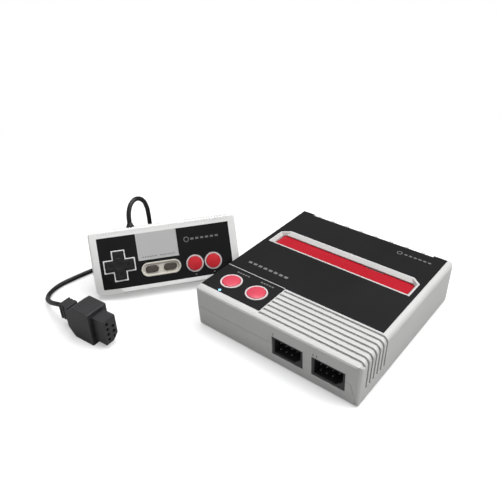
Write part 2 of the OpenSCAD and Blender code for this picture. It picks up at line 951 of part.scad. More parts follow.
module dpad() {
    color(label_black)
    on_pad()
    translate(dpad_at) difference() {
        union() {
            translate([0, 0, 13.2]) linear_extrude(pad_t + 1.5 - 13.2) cross(dpad_w, arm_w);
            rod(10.8, 13.2, 14.3);
        }
        translate([0, 0, pivot_z]) sphere(r = 2.1);
        translate([0, 0, pad_t + 1.5 + 14]) sphere(r = 14.5, $fn = 64);
        for (turn = [0:90:270])
            rotate([0, 0, turn]) translate([8.2, 0, pad_t + 1])
                linear_extrude(2) polygon([[-1.5, -1.9], [1.7, 0], [-1.5, 1.9]]);
    }
}

module dpad_pivot() {
    color(steel)
    on_pad() translate([dpad_at.x, dpad_at.y, pivot_z]) sphere(r = 2);
}

module rubber_dome(r, high) {
    rotate_extrude()
        polygon([[0, sheet_top - eps], [r + 0.8, sheet_top - eps], [r, high - 0.6],
            [r - 0.3, high], [0, high]]);
}

module dpad_membrane() {
    color([0.35, 0.36, 0.38])
    on_pad()
    translate(dpad_at) {
        difference() {
            translate([0, 0, pad_board_top]) linear_extrude(1) rounded(27, 27, 4);
            rod(2.2, 0, 20);
        }
        for (turn = [0:90:270]) rotate([0, 0, turn]) translate([8.4, 0, 0]) rubber_dome(2.1, 13.1);
    }
}

module round_membrane() {
    color([0.35, 0.36, 0.38])
    on_pad() {
        translate([(round_a.x + round_b.x) / 2, round_a.y, pad_board_top])
            linear_extrude(1) rounded(32, 14, 4);
        rounds() rubber_dome(3.4, 10.2);
    }
}

module pill_membrane() {
    color([0.35, 0.36, 0.38])
    on_pad() {
        translate([pill_at.x, pill_at.y, pad_board_top]) linear_extrude(1) rounded(28, 10, 3);
        key_places() rubber_dome(2.6, 10.2);
    }
}

module pad_board() {
    color(board_green)
    on_pad()
    difference() {
        slab([-50, 50], [5, 47], [pad_board_z, pad_board_top]);
        translate(dpad_at) rod(2.2, 0, 20);
        for (p = [[-1, -1], [1, -1]])
            translate([p.x * 50, 5, 0]) rotate([0, 0, 45]) cube([6, 6, 40], center = true);
    }
}

module pad_chip() {
    color(black)
    on_pad() slab([-12, -1], [30, 36.5], [pad_board_z - 1.8, pad_board_z]);
}

module pad_screws() {
    color(steel)
    on_pad()
    for (p = pad_posts) translate([p.x, p.y, 2.8]) screw(2.4, 1.6, 1.2, 10);
}

// Gland where the cord leaves the controller's top edge: its flanges hold the wall between them
module pad_grommet() {
    color(black)
    on_pad()
    translate([exit_x, 0, pad_mid]) rotate([-90, 0, 0]) {
        rod(2.55, pad_h - pad_wall - 0.2, pad_h + 0.3);
        rod(3.6, pad_h - pad_wall - 2.4, pad_h - pad_wall - 0.1);
        rod(3.4, pad_h + 0.1, pad_h + 1.3);
        translate([0, 0, pad_h + 1.2])
            cylinder(r1 = 3, r2 = cord_r + 0.3, h = grommet_end - pad_h - 1.2);
    }
}

// ---- Cord and plug ----

exit_point = pad_point([exit_x, grommet_end, pad_mid]);
exit_dir = pad_point([0, 1, 0]) - pad_at;

function on_coil(r, a, z) = coil_at + [r * cos(a), r * sin(a), z];

module cord_start() {
    color(black)
    sweep(curve(concat([exit_point, exit_point + 4 * exit_dir], start_points,
        [on_coil(coil_out - cord_r, coil_enter, coil_h - cord_r)]), 2), cord_r, 8, [1, 0, 0]);
}

module cord_end() {
    neck = plug_at - 0.01 * [cos(plug_yaw), sin(plug_yaw), 0];
    color(black)
    sweep(curve(concat([on_coil(coil_out - cord_r, coil_leave, cord_r)], end_points,
        [neck - 6 * [cos(plug_yaw), sin(plug_yaw), 0], neck]), 2), cord_r, 8);
}

module cord_coil() {
    color(black)
    translate(coil_at) tube_ring(coil_out, coil_in, 0, coil_h);
}

module cord_tie() {
    color([0.2, 0.2, 0.2])
    translate(coil_at) rotate([0, 0, 60]) difference() {
        slab([coil_in - 0.8, coil_out + 0.8], [-3, 3], [0, coil_h + 0.8]);
        tube_ring(coil_out, coil_in, -1, coil_h);
    }
}

module on_plug() {
    translate(plug_at) rotate([0, 0, plug_yaw]) children();
}

// The moulded grip, lying on its narrow side: x runs from the cord to the nose
module plug_body() {
    color(black)
    on_plug() {
        difference() {
            slab([0, 10], [-5.5, 5.5], [-7, 7]);
            for (x = [2.6, 5.6], side = [-1, 1])
                translate([x, side * 5.5, 0]) cube([1.2, 1.4, 20], center = true);
        }
        slab([9.9, 14.5], [-4.4, 4.4], [-5, 5]);
        rotate([90, 0, 0])
            linear_extrude(plug_w, center = true)
                polygon([[13, -7], [18.5, -plug_h / 2 + 1], [20, -plug_h / 2],
                    [grip_l - 0.4, -plug_h / 2], [grip_l, 0.4 - plug_h / 2],
                    [grip_l, plug_h / 2 - 0.4], [grip_l - 0.4, plug_h / 2], [22, plug_h / 2],
                    [13, 8]]);
    }
}

module plug_nose() {
    color(black * 1.2)
    on_plug()
    translate([grip_l, 0, 0]) rotate([0, 90, 0]) rotate([0, 0, 180])
    difference() {
        linear_extrude(nose_l) keyed_nose();
        for (s = contact_spots) translate([s.x, s.y, 0]) rod(socket_r, 1, 30);
    }
}

module keyed_nose() {
    mirror([1, 0]) keyed(recess_w - 0.4, recess_h - 0.4);
}

module plug_contacts() {
    color(steel)
    on_plug()
    translate([grip_l, 0, 0]) rotate([0, 90, 0]) rotate([0, 0, 180])
    for (s = contact_spots)
        translate([s.x, s.y, 0]) tube_ring(socket_r, socket_r - socket_wall, 1, nose_l - 2.5);
}

// ---- The set ----

module placed() {
    translate(console_at) children();
}

placed() upper_shell();
placed() lower_shell();
placed() top_label();
placed() slot_frame();
placed() dust_flap();
placed() flap_pin();
placed() flap_spring();
placed() power_button();
placed() reset_button();
placed() power_spring();
placed() reset_spring();
placed() button_switches();
placed() button_board();
placed() led_lens();
placed() status_led();
placed() port_1();
placed() port_2();
placed() port_contacts();
placed() port_board();
placed() port_ribbon();
placed() button_cable();
placed() main_board();
placed() cart_connector();
placed() cart_contacts();
placed() main_chips();
placed() capacitors();
placed() jack_housings();
placed() jack_shells();
placed() jack_inserts();
placed() power_inlet();
placed() case_screws();
placed() board_screws();
placed() frame_screws();
placed() rubber_feet();
placed() pad_front_shell();
placed() pad_back_shell();
placed() pad_label();
placed() pad_panel();
placed() pill_insert();
placed() dpad();
placed() dpad_pivot();
placed() button_a();
placed() button_b();
placed() select_button();
placed() start_button();
placed() dpad_membrane();
placed() round_membrane();
placed() pill_membrane();
placed() pad_board();
placed() pad_chip();
placed() pad_screws();
placed() pad_grommet();
placed() cord_start();
placed() cord_coil();
placed() cord_end();
placed() cord_tie();
placed() plug_body();
placed() plug_nose();
placed() plug_contacts();
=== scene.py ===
# Cartridge console with its wired controller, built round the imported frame
import json
import math

import bmesh
import bpy
from mathutils import Matrix, Vector

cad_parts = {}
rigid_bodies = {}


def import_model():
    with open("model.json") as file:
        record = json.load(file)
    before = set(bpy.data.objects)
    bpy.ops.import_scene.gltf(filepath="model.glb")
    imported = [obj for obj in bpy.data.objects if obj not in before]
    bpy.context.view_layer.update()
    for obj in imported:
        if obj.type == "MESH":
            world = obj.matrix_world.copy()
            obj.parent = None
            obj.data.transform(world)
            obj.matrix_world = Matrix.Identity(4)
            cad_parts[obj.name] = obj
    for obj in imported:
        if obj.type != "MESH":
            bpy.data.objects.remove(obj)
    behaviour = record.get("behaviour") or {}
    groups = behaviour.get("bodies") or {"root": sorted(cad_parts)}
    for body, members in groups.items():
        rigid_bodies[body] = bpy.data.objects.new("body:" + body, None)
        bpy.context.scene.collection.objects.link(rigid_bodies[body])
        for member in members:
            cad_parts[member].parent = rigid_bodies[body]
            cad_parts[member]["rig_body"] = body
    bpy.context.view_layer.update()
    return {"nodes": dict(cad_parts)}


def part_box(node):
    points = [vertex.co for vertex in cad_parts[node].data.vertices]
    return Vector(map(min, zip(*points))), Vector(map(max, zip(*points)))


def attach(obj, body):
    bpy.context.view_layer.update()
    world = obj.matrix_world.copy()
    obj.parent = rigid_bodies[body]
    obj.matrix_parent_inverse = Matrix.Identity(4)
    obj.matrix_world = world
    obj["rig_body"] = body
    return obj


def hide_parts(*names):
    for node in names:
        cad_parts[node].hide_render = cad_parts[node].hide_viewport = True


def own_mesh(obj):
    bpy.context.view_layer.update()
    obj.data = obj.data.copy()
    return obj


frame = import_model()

nodes = frame["nodes"]
mm = 0.001

# The console's own origin is the middle of its upper shell, on the surface it stands on
shellLow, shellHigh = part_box("upper_shell")
consoleAt = Vector(((shellLow.x + shellHigh.x) / 2, (shellLow.y + shellHigh.y) / 2, 0))


# A point in the console's own millimetres
def onConsole(x, y, z):
    return consoleAt + Vector((x, y, z)) * mm


# The controller: x across its face, y up its face, z out of its face
padPose = {"at": (-133, -49, -0.45), "yaw": 52, "lean": 27}


def padMatrix():
    yaw, lean = math.radians(padPose["yaw"]), math.radians(padPose["lean"])
    across = Vector((math.cos(yaw), math.sin(yaw), 0))
    up = Vector((-math.sin(lean) * math.sin(yaw), math.sin(lean) * math.cos(yaw), math.cos(lean)))
    turn = Matrix((across, up, across.cross(up))).transposed().to_4x4()
    return Matrix.Translation(onConsole(*padPose["at"])) @ turn @ Matrix.Scale(mm, 4)


padPlace = padMatrix()
consolePlace = Matrix.Translation(consoleAt) @ Matrix.Scale(mm, 4)


# Angles in degrees, lengths in millimetres
cameraSet = {"lens": 40.39, "azimuth": 39.94, "elevation": 33.17, "roll": -1.84,
             "target": (-108.6, 35.5, 0), "distance": 545.9}


def makeCamera():
    data = bpy.data.cameras.new("camera")
    data.lens, data.sensor_width = cameraSet["lens"], 36
    camera = bpy.data.objects.new("camera", data)
    bpy.context.scene.collection.objects.link(camera)
    a, e = math.radians(cameraSet["azimuth"]), math.radians(cameraSet["elevation"])
    back = Vector((math.sin(a) * math.cos(e), -math.cos(a) * math.cos(e), math.sin(e)))
    right = Vector((0, 0, 1)).cross(back).normalized()
    up = back.cross(right)
    r = math.radians(cameraSet["roll"])
    rolledRight = math.cos(r) * right + math.sin(r) * up
    rolledUp = math.cos(r) * up - math.sin(r) * right
    turn = Matrix((rolledRight, rolledUp, back)).transposed().to_4x4()
    place = onConsole(*cameraSet["target"]) + back * cameraSet["distance"] * mm
    camera.matrix_world = Matrix.Translation(place) @ turn
    data.clip_start, data.clip_end = 0.01, 20
    bpy.context.scene.camera = camera


makeCamera()
print("camera placed")


def newMaterial(name):
    material = bpy.data.materials.new(name)
    material.use_nodes = True
    tree = material.node_tree
    shader = tree.nodes["Principled BSDF"]
    return material, tree, shader


def addNode(tree, kind, **inputs):
    node = tree.nodes.new(kind)
    for name, value in inputs.items():
        node.inputs[name.replace("_", " ")].default_value = value
    return node


def grey(value):
    return (value, value, value, 1)


# Moulded plastic, rubber or metal: a fine grain, slow drifts of colour and gloss, and fine spots
def finishMaterial(name, colour, roughness=0.45, grain=1400, grainDepth=0.02, drift=0.04,
                   driftScale=18, spots=0.0, metallic=0.0, coat=0.0, roughDrift=0.06, specular=0.5):
    material, tree, shader = newMaterial(name)
    link = tree.links.new
    where = tree.nodes.new("ShaderNodeTexCoord").outputs["Object"]
    shader.inputs["Metallic"].default_value = metallic
    shader.inputs["Coat Weight"].default_value = coat
    shader.inputs["Coat Roughness"].default_value = 0.12
    shader.inputs["Specular IOR Level"].default_value = specular
    slow = addNode(tree, "ShaderNodeTexNoise", Scale=driftScale, Detail=4.0, Roughness=0.55)
    fine = addNode(tree, "ShaderNodeTexNoise", Scale=grain, Detail=3.0, Roughness=0.6)
    link(where, slow.inputs["Vector"])
    link(where, fine.inputs["Vector"])
    ramp = tree.nodes.new("ShaderNodeValToRGB")
    ramp.color_ramp.elements[0].position, ramp.color_ramp.elements[1].position = 0.3, 0.7
    ramp.color_ramp.elements[0].color = [c * (1 - drift) for c in colour[:3]] + [1]
    ramp.color_ramp.elements[1].color = [min(c * (1 + drift), 1) for c in colour[:3]] + [1]
    link(slow.outputs["Fac"], ramp.inputs["Fac"])
    if spots:
        dots = addNode(tree, "ShaderNodeMapRange", From_Min=0.62, From_Max=0.75, To_Min=0.0,
                       To_Max=spots)
        mix = tree.nodes.new("ShaderNodeMix")
        mix.data_type = "RGBA"
        link(fine.outputs["Fac"], dots.inputs["Value"])
        link(dots.outputs["Result"], mix.inputs[0])
        link(ramp.outputs["Color"], mix.inputs[6])
        mix.inputs[7].default_value = [min(c * 1.6 + 0.02, 1) for c in colour[:3]] + [1]
        link(mix.outputs[2], shader.inputs["Base Color"])
    else:
        link(ramp.outputs["Color"], shader.inputs["Base Color"])
    gloss = addNode(tree, "ShaderNodeMapRange", From_Min=0.3, From_Max=0.7,
                    To_Min=roughness - roughDrift, To_Max=roughness + roughDrift)
    link(slow.outputs["Fac"], gloss.inputs["Value"])
    link(gloss.outputs["Result"], shader.inputs["Roughness"])
    bump = addNode(tree, "ShaderNodeBump", Strength=0.6, Distance=grainDepth * mm)
    link(fine.outputs["Fac"], bump.inputs["Height"])
    link(bump.outputs["Normal"], shader.inputs["Normal"])
    return material


looks = {
    "caseGrey": dict(colour=(0.45, 0.45, 0.445), roughness=0.42, grainDepth=0.03),
    "padGrey": dict(colour=(0.68, 0.68, 0.675), roughness=0.42, grainDepth=0.03),
    "labelBlack": dict(colour=(0.006, 0.006, 0.0065), roughness=0.5, grainDepth=0.012, drift=0.15,
                       specular=0.16),
    "flapRed": dict(colour=(0.33, 0.004, 0.013), roughness=0.3, grainDepth=0.004, coat=0.12,
                    specular=0.22),
    "buttonRed": dict(colour=(0.50, 0.042, 0.075), roughness=0.35, grainDepth=0.01, coat=0.1),
    "padRed": dict(colour=(0.46, 0.014, 0.022), roughness=0.25, grainDepth=0.006, coat=0.3),
    "ringGrey": dict(colour=(0.55, 0.46, 0.47), roughness=0.4, grainDepth=0.02),
    "portBlack": dict(colour=(0.017, 0.017, 0.018), roughness=0.42, grainDepth=0.03, drift=0.2),
    "steel": dict(colour=(0.55, 0.55, 0.56), roughness=0.28, grainDepth=0.006, metallic=1.0),
    "gold": dict(colour=(0.80, 0.56, 0.20), roughness=0.25, grainDepth=0.004, metallic=1.0),
    "partBlack": dict(colour=(0.022, 0.022, 0.024), roughness=0.55, grainDepth=0.02, spots=0.15),
    "canBlue": dict(colour=(0.03, 0.05, 0.15), roughness=0.3, grainDepth=0.01),
    "jackYellow": dict(colour=(0.75, 0.52, 0.04), roughness=0.35, grainDepth=0.01),
    "footRubber": dict(colour=(0.03, 0.03, 0.03), roughness=0.8, grainDepth=0.05, spots=0.1),
    "panelGrey": dict(colour=(0.39, 0.39, 0.39), roughness=0.42, grainDepth=0.012),
    "insertGrey": dict(colour=(0.50, 0.475, 0.42), roughness=0.45, grainDepth=0.02),
    "dpadBlack": dict(colour=(0.010, 0.010, 0.011), roughness=0.42, grainDepth=0.03, drift=0.2,
                      specular=0.35),
    "keyRubber": dict(colour=(0.045, 0.036, 0.028), roughness=0.6, grainDepth=0.03),
    "membrane": dict(colour=(0.12, 0.13, 0.14), roughness=0.6, grainDepth=0.02),
    "plugBlack": dict(colour=(0.021, 0.021, 0.0225), roughness=0.48, grainDepth=0.05, spots=0.12,
                      grain=1100, drift=0.15, specular=0.35),
    "cordBlack": dict(colour=(0.008, 0.008, 0.009), roughness=0.36, grainDepth=0.02, drift=0.15,
                      specular=0.25),
    "tieBlack": dict(colour=(0.03, 0.03, 0.03), roughness=0.6, grainDepth=0.03),
    "cableGrey": dict(colour=(0.36, 0.36, 0.38), roughness=0.4, grainDepth=0.01),
    # Contact metal darkened far below plain steel: painted shade of the deep sockets and plug holes that
    # the pins and sleeves sit in
    "shadedContactSteel": dict(colour=(0.16, 0.16, 0.165), roughness=0.4, grainDepth=0.004, metallic=1.0),
    "printWhite": dict(colour=(0.46, 0.46, 0.46), roughness=0.4, grainDepth=0.005, drift=0.03),
    "printGrey": dict(colour=(0.13, 0.13, 0.13), roughness=0.45, grainDepth=0.005, drift=0.03),
    "printDark": dict(colour=(0.12, 0.12, 0.12), roughness=0.45, grainDepth=0.005, drift=0.03),
}
materials = {name: finishMaterial(name, **look) for name, look in looks.items()}


# Solder mask with straight tracks, drawn by a brick grid
def boardGreen():
    material, tree, shader = newMaterial("boardGreen")
    link = tree.links.new
    where = tree.nodes.new("ShaderNodeTexCoord").outputs["Object"]
    tracks = addNode(tree, "ShaderNodeTexBrick", Scale=90.0, Mortar_Size=0.06, Bias=0.0)
    tracks.inputs["Color1"].default_value = (0.012, 0.11, 0.045, 1)
    tracks.inputs["Color2"].default_value = (0.010, 0.09, 0.038, 1)
    tracks.inputs["Mortar"].default_value = (0.03, 0.20, 0.09, 1)
    link(where, tracks.inputs["Vector"])
    link(tracks.outputs["Color"], shader.inputs["Base Color"])
    bump = addNode(tree, "ShaderNodeBump", Strength=0.5, Distance=0.03 * mm)
    link(tracks.outputs["Fac"], bump.inputs["Height"])
    link(bump.outputs["Normal"], shader.inputs["Normal"])
    shader.inputs["Roughness"].default_value = 0.3
    return material


# The lens of the status light, lit from inside
def litLens():
    material, tree, shader = newMaterial("lensBlue")
    where = tree.nodes.new("ShaderNodeTexCoord").outputs["Object"]
    haze = addNode(tree, "ShaderNodeTexNoise", Scale=900.0, Detail=2.0)
    tree.links.new(where, haze.inputs["Vector"])
    glow = addNode(tree, "ShaderNodeMapRange", To_Min=0.9, To_Max=1.2)
    tree.links.new(haze.outputs["Fac"], glow.inputs["Value"])
    tree.links.new(glow.outputs["Result"], shader.inputs["Emission Strength"])
    shader.inputs["Emission Color"].default_value = (0.22, 0.62, 1.0, 1)
    shader.inputs["Base Color"].default_value = (0.25, 0.55, 0.95, 1)
    shader.inputs["Roughness"].default_value = 0.2
    return material


materials["boardGreen"] = boardGreen()
materials["lensBlue"] = litLens()
print("materials made")

nodeLooks = {
    "caseGrey": "upper_shell lower_shell slot_frame",
    "padGrey": "pad_front_shell pad_back_shell",
    "labelBlack": "top_label pad_label",
    "flapRed": "dust_flap",
    "buttonRed": "power_button reset_button",
    "padRed": "button_a button_b",
    "portBlack": "port_1 port_2 cart_connector",
    "steel": "flap_pin flap_spring power_spring reset_spring port_contacts case_screws board_screws "
             "frame_screws jack_shells pad_screws plug_contacts dpad_pivot",
    "gold": "cart_contacts",
    "partBlack": "button_switches main_chips jack_housings power_inlet pad_chip",
    "canBlue": "capacitors",
    "jackYellow": "jack_inserts",
    "footRubber": "rubber_feet",
    "panelGrey": "pad_panel",
    "insertGrey": "pill_insert",
    "dpadBlack": "dpad",
    "keyRubber": "select_button start_button",
    "membrane": "dpad_membrane round_membrane pill_membrane",
    "plugBlack": "plug_body plug_nose",
    "cordBlack": "pad_grommet cord_start cord_coil cord_end",
    "tieBlack": "cord_tie",
    "cableGrey": "port_ribbon button_cable",
    "boardGreen": "button_board port_board main_board pad_board",
    "lensBlue": "led_lens status_led",
}


def paint(piece, look):
    piece.data.materials.clear()
    piece.data.materials.append(materials[look])


lookOf = {node: look for look, names in nodeLooks.items() for node in names.split()}
for node, look in lookOf.items():
    paint(nodes[node], look)


# The lead, in the console's millimetres; its exit is in the controller's
cordSet = {"diameter": 4, "coilAt": (-158, -16.5), "inner": 17, "outer": 29, "height": 20,
           "enter": 165, "turnsPerLayer": 2, "layers": 5, "step": 60, "pointsPerTurn": 16,
           "exit": (-27, 58.5, 9), "straight": 4, "plugAt": (-161, -137.5, 15), "plugYaw": 5, "neck": 6}
startRoute = [(-168, -54.5, 65), (-170, -49, 69.5), (-170.5, -42.5, 70.5), (-170, -37, 67),
              (-169.5, -34, 60), (-169.5, -33, 51), (-170, -32.5, 42), (-171.5, -31.5, 33),
              (-175.5, -29, 26), (-181, -24, 21.5), (-184.8, -17, 19.2)]
endRoute = [(-163, -46, 2.2), (-175, -50.5, 2.2), (-186, -57.5, 2.2), (-195, -67, 2.2),
            (-201, -78, 2.2), (-204, -90, 2.2), (-206, -102, 2.2), (-207, -113, 2.2),
            (-204, -124, 2.8), (-197, -132, 4.6), (-187, -136.5, 8), (-176, -138, 12)]


# A point on the coil, in console millimetres, after that many degrees from where the cord enters
def coilPoint(turned):
    wound, radius = 360 * cordSet["turnsPerLayer"], cordSet["diameter"] / 2
    layer, rest = divmod(turned, wound + cordSet["step"])
    if layer >= cordSet["layers"]:
        layer, rest = layer - 1, wound
    share = min(rest / wound, 1)
    drop = max(rest - wound, 0) / cordSet["step"]
    inwards = share if layer % 2 == 0 else 1 - share
    wide = cordSet["outer"] - cordSet["inner"] - 2 * radius
    r = cordSet["outer"] - radius - wide * inwards
    z = cordSet["height"] - radius - 2 * radius * (layer + drop * drop * (3 - 2 * drop))
    a = math.radians(cordSet["enter"] - turned)
    x, y = cordSet["coilAt"]
    return (x + r * math.cos(a), y + r * math.sin(a), z)


def makeCord():
    layers = cordSet["layers"]
    total = 360 * cordSet["turnsPerLayer"] * layers + cordSet["step"] * (layers - 1)
    count = round(total / 360 * cordSet["pointsPerTurn"])
    coil = [onConsole(*coilPoint(total * i / count)) for i in range(count + 1)]
    exitPoint = padPlace @ Vector(cordSet["exit"])
    along = (padPlace.to_3x3() @ Vector((0, 1, 0))).normalized()
    yaw = math.radians(cordSet["plugYaw"])
    neck = onConsole(*cordSet["plugAt"])
    before = neck - Vector((math.cos(yaw), math.sin(yaw), 0)) * cordSet["neck"] * mm
    route = [exitPoint, exitPoint + along * cordSet["straight"] * mm,
             *[onConsole(*p) for p in startRoute], *coil, *[onConsole(*p) for p in endRoute],
             before, neck]
    data = bpy.data.curves.new("padCord", "CURVE")
    data.dimensions = "3D"
    data.bevel_depth = cordSet["diameter"] / 2 * mm
    data.bevel_resolution = 4
    data.resolution_u = 4
    data.use_fill_caps = True
    spline = data.splines.new("BEZIER")
    spline.bezier_points.add(len(route) - 1)
    for point, place in zip(spline.bezier_points, route):
        point.co = place
        point.handle_left_type = point.handle_right_type = "AUTO"
    cord = bpy.data.objects.new("padCord", data)
    bpy.context.scene.collection.objects.link(cord)
    data.materials.append(materials["cordBlack"])
    length = sum((a - b).length for a, b in zip(route, route[1:]))
    print("cord length", round(length, 3))
    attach(cord, "housing")
    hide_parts("cord_start", "cord_coil", "cord_end")
    return cord, exitPoint, length


padCord, cordExit, cordLength = makeCord()


# Lengths in millimetres, angles in degrees
edgeSet = {"merge": 0.002, "flat": 0.6, "sharp": 32, "segments": 2}


# A copy of a CAD node's mesh with its triangles joined into faces and its edges rounded
def refine(node, name, bevel):
    source = nodes[node]
    sharp = math.radians(edgeSet["sharp"])
    mesh = source.data.copy()
    mesh.name = name
    bm = bmesh.new()
    bm.from_mesh(mesh)
    bmesh.ops.remove_doubles(bm, verts=bm.verts, dist=edgeSet["merge"] * mm)
    bmesh.ops.dissolve_limit(bm, angle_limit=math.radians(edgeSet["flat"]), verts=bm.verts,
                             edges=bm.edges)
    bmesh.ops.connect_verts_concave(bm, faces=bm.faces)
    bm.to_mesh(mesh)
    bm.free()
    mesh.shade_smooth()
    mesh.set_sharp_from_angle(angle=sharp)
    piece = bpy.data.objects.new(name, mesh)
    bpy.context.scene.collection.objects.link(piece)
    if bevel:
        edge = piece.modifiers.new("edges", "BEVEL")
        edge.width = bevel * mm
        edge.segments = edgeSet["segments"]
        edge.limit_method = "ANGLE"
        edge.angle_limit = sharp
        edge.miter_outer = "MITER_ARC"
        weight = piece.modifiers.new("normals", "WEIGHTED_NORMAL")
        weight.keep_sharp = True
    paint(piece, lookOf[node])
    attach(piece, source["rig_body"])
    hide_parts(node)
    return piece


# New names of the pieces, and how far their edges are rounded
refined = {
    "upper_shell": ("upperShell", 0.25), "lower_shell": ("lowerShell", 0.25),
    "slot_frame": ("slotFrame", 0.25), "dust_flap": ("dustFlap", 0.3),
    "power_button": ("powerCap", 0.4), "reset_button": ("resetCap", 0.4),
    "port_1": ("portLeft", 0.2), "port_2": ("portRight", 0.2),
    "pad_front_shell": ("padFront", 0.2), "pad_back_shell": ("padBack", 0.3),
    "pill_insert": ("pillInsert", 0.25), "dpad": ("directionPad", 0.35),
    "button_a": ("buttonA", 0.3), "button_b": ("buttonB", 0.3),
    "select_button": ("selectKey", 0.3), "start_button": ("startKey", 0.3),
    "plug_body": ("plugGrip", 0.9), "plug_nose": ("plugNose", 0.6),
    "rubber_feet": ("rubberFeet", 0.3), "cord_tie": ("cordTie", 0.3),
    "pad_grommet": ("padGrommet", 0.2), "case_screws": ("caseScrews", 0.12),
    "pad_screws": ("padScrews", 0.12), "power_inlet": ("powerInlet", 0.15),
    "jack_shells": ("jackShells", 0.12), "jack_inserts": ("jackInserts", 0.12),
}
made = {node: refine(node, *choice) for node, choice in refined.items()}
print("shells refined")


# A node tree that takes points and named numbers, and gives geometry
def newGeometry(name, inputs):
    tree = bpy.data.node_groups.new(name, "GeometryNodeTree")
    tree.interface.new_socket("Points", in_out="INPUT", socket_type="NodeSocketGeometry")
    for label, value in inputs.items():
        socket = tree.interface.new_socket(label, in_out="INPUT", socket_type="NodeSocketFloat")
        socket.default_value = value
    tree.interface.new_socket("Material", in_out="INPUT", socket_type="NodeSocketMaterial")
    tree.interface.new_socket("Geometry", in_out="OUTPUT", socket_type="NodeSocketGeometry")
    return tree, tree.nodes.new("NodeGroupInput"), tree.nodes.new("NodeGroupOutput")


# Puts the shape on every point, joins the copies and gives them their material
def finishTree(tree, given, out, shape):
    link = tree.links.new
    copies = tree.nodes.new("GeometryNodeInstanceOnPoints")
    real = tree.nodes.new("GeometryNodeRealizeInstances")
    dress = tree.nodes.new("GeometryNodeSetMaterial")
    link(given.outputs["Points"], copies.inputs["Points"])
    link(shape, copies.inputs["Instance"])
    link(copies.outputs["Instances"], real.inputs["Geometry"])
    link(real.outputs["Geometry"], dress.inputs["Geometry"])
    link(given.outputs["Material"], dress.inputs["Material"])
    link(dress.outputs["Geometry"], out.inputs["Geometry"])
    return tree


# A round pin standing up from each point, with a tapered tip
def pinTree(inputs):
    tree, given, out = newGeometry("pins", inputs)
    link = tree.links.new
    shank = addNode(tree, "GeometryNodeMeshCylinder", Vertices=20)
    tip = addNode(tree, "GeometryNodeMeshCone", Vertices=20)
    lift = tree.nodes.new("ShaderNodeCombineXYZ")
    half = tree.nodes.new("ShaderNodeMath")
    half.operation = "DIVIDE"
    half.inputs[1].default_value = 2
    raised = tree.nodes.new("GeometryNodeTransform")
    topped = tree.nodes.new("GeometryNodeTransform")
    high = tree.nodes.new("ShaderNodeCombineXYZ")
    both = tree.nodes.new("GeometryNodeJoinGeometry")
    smooth = tree.nodes.new("GeometryNodeSetShadeSmooth")
    link(given.outputs["Radius"], shank.inputs["Radius"])
    link(given.outputs["Length"], shank.inputs["Depth"])
    link(given.outputs["Length"], half.inputs[0])
    link(half.outputs[0], lift.inputs["Z"])
    link(shank.outputs["Mesh"], raised.inputs["Geometry"])
    link(lift.outputs["Vector"], raised.inputs["Translation"])
    link(given.outputs["Radius"], tip.inputs["Radius Bottom"])
    link(given.outputs["Tip radius"], tip.inputs["Radius Top"])
    link(given.outputs["Tip"], tip.inputs["Depth"])
    link(given.outputs["Length"], high.inputs["Z"])
    link(tip.outputs["Mesh"], topped.inputs["Geometry"])
    link(high.outputs["Vector"], topped.inputs["Translation"])
    link(raised.outputs["Geometry"], both.inputs["Geometry"])
    link(topped.outputs["Geometry"], both.inputs["Geometry"])
    link(both.outputs["Geometry"], smooth.inputs["Geometry"])
    return finishTree(tree, given, out, smooth.outputs["Geometry"])


# A ring round each point: a round path with a flat or square section
def ringTree(inputs):
    tree, given, out = newGeometry("rings", inputs)
    link = tree.links.new
    path = addNode(tree, "GeometryNodeCurvePrimitiveCircle", Resolution=64)
    section = tree.nodes.new("GeometryNodeCurvePrimitiveQuadrilateral")
    rounded = tree.nodes.new("GeometryNodeFilletCurve")
    rounded.mode = "POLY"
    rounded.inputs["Count"].default_value, rounded.inputs["Limit Radius"].default_value = 2, True
    body = tree.nodes.new("GeometryNodeCurveToMesh")
    smooth = tree.nodes.new("GeometryNodeSetShadeSmooth")
    link(given.outputs["Radius"], path.inputs["Radius"])
    link(given.outputs["Wall"], section.inputs["Width"])
    link(given.outputs["Height"], section.inputs["Height"])
    link(section.outputs["Curve"], rounded.inputs["Curve"])
    link(given.outputs["Edge"], rounded.inputs["Radius"])
    link(path.outputs["Curve"], body.inputs["Curve"])
    link(rounded.outputs["Curve"], body.inputs["Profile Curve"])
    link(body.outputs["Mesh"], smooth.inputs["Geometry"])
    return finishTree(tree, given, out, smooth.outputs["Geometry"])


# A bowed contact leaf standing up from each point
def leafTree(inputs):
    tree, given, out = newGeometry("leaves", inputs)
    link = tree.links.new
    path = addNode(tree, "GeometryNodeCurveQuadraticBezier", Resolution=10)
    middle, end = (tree.nodes.new("ShaderNodeCombineXYZ") for _ in range(2))
    half = tree.nodes.new("ShaderNodeMath")
    half.operation = "DIVIDE"
    half.inputs[1].default_value = 2
    section = tree.nodes.new("GeometryNodeCurvePrimitiveQuadrilateral")
    body = addNode(tree, "GeometryNodeCurveToMesh", Fill_Caps=True)
    path.inputs["Start"].default_value = (0, 0, 0)
    link(given.outputs["Length"], half.inputs[0])
    link(half.outputs[0], middle.inputs["Z"])
    link(given.outputs["Bow"], middle.inputs["Y"])
    link(given.outputs["Length"], end.inputs["Z"])
    link(middle.outputs["Vector"], path.inputs["Middle"])
    link(end.outputs["Vector"], path.inputs["End"])
    link(given.outputs["Thickness"], section.inputs["Width"])
    link(given.outputs["Width"], section.inputs["Height"])
    link(path.outputs["Curve"], body.inputs["Curve"])
    link(section.outputs["Curve"], body.inputs["Profile Curve"])
    return finishTree(tree, given, out, body.outputs["Mesh"])


